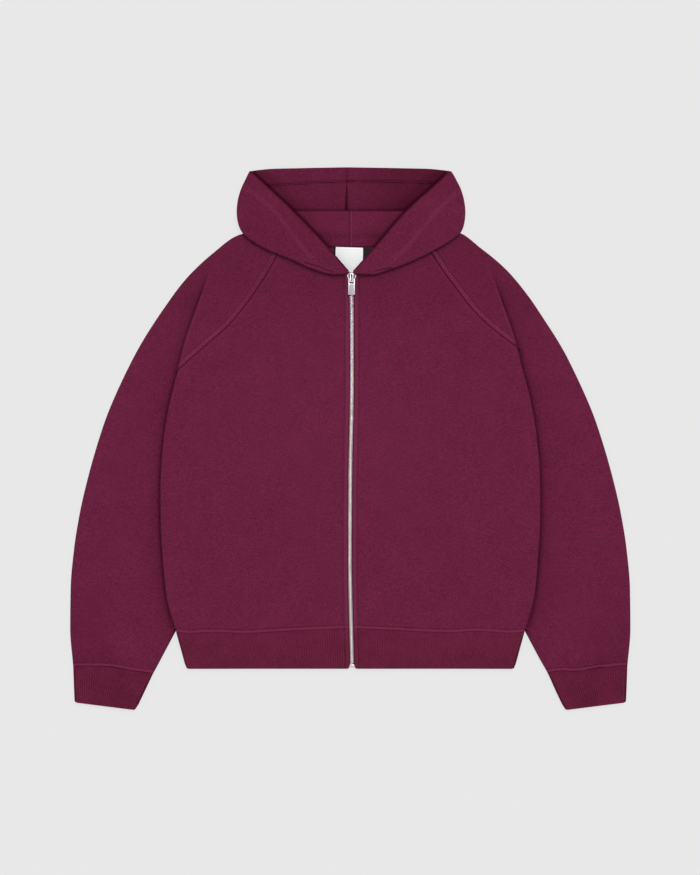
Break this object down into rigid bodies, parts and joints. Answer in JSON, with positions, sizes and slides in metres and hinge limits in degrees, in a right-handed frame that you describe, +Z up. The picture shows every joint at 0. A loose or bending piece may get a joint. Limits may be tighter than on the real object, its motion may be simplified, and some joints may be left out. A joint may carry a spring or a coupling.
{
  "type": "zip up hoodie",
  "caption": "Loose raglan-sleeved hooded sweatshirt laid flat on its back, full-length closed zip, folded-back hood, ribbed hem band and cuffs.",
  "frame": {"origin": "on the surface that the garment lies on, below the middle of its overall length and width", "axes": "+Z up, out of the garment's front; +Y towards the hood; +X towards the wearer's left, the right of the picture"},
  "size_m": [0.8954, 0.8672, 0.0198],
  "materials": {
    "fleece": "brushed cotton fleece, burgundy, matt",
    "rib_knit": "rib knit, burgundy, matt",
    "zip_metal": "silver-coloured satin metal",
    "zip_tape": "woven tape, dark burgundy",
    "white_label": "woven satin label, white, bare",
    "black_label": "woven label, black, bare"
  },
  "bodies": {
    "garment": {"back": "fleece", "front_right": "fleece", "front_left": "fleece", "sleeve_right": "fleece", "sleeve_left": "fleece", "hood_right": "fleece", "hood_left": "fleece", "cuff_right": "rib_knit", "cuff_left": "rib_knit", "hem_band": "rib_knit", "zip_chain": "zip_metal", "zip_bottom_stop": "zip_metal", "zip_slider": "zip_metal", "zip_tape_right": "zip_tape", "zip_tape_left": "zip_tape", "neck_label": "white_label", "size_label": "black_label"},
    "pull": {"zip_pull": "zip_metal"}
  },
  "joints": [
    {"name": "pull_hinge", "type": "hinge", "parent": "garment", "child": "pull", "pos_m": [0.002, 0.25425, 0.014], "axis": [-1, 0, 0], "range_deg": [0, 135]}
  ]
}
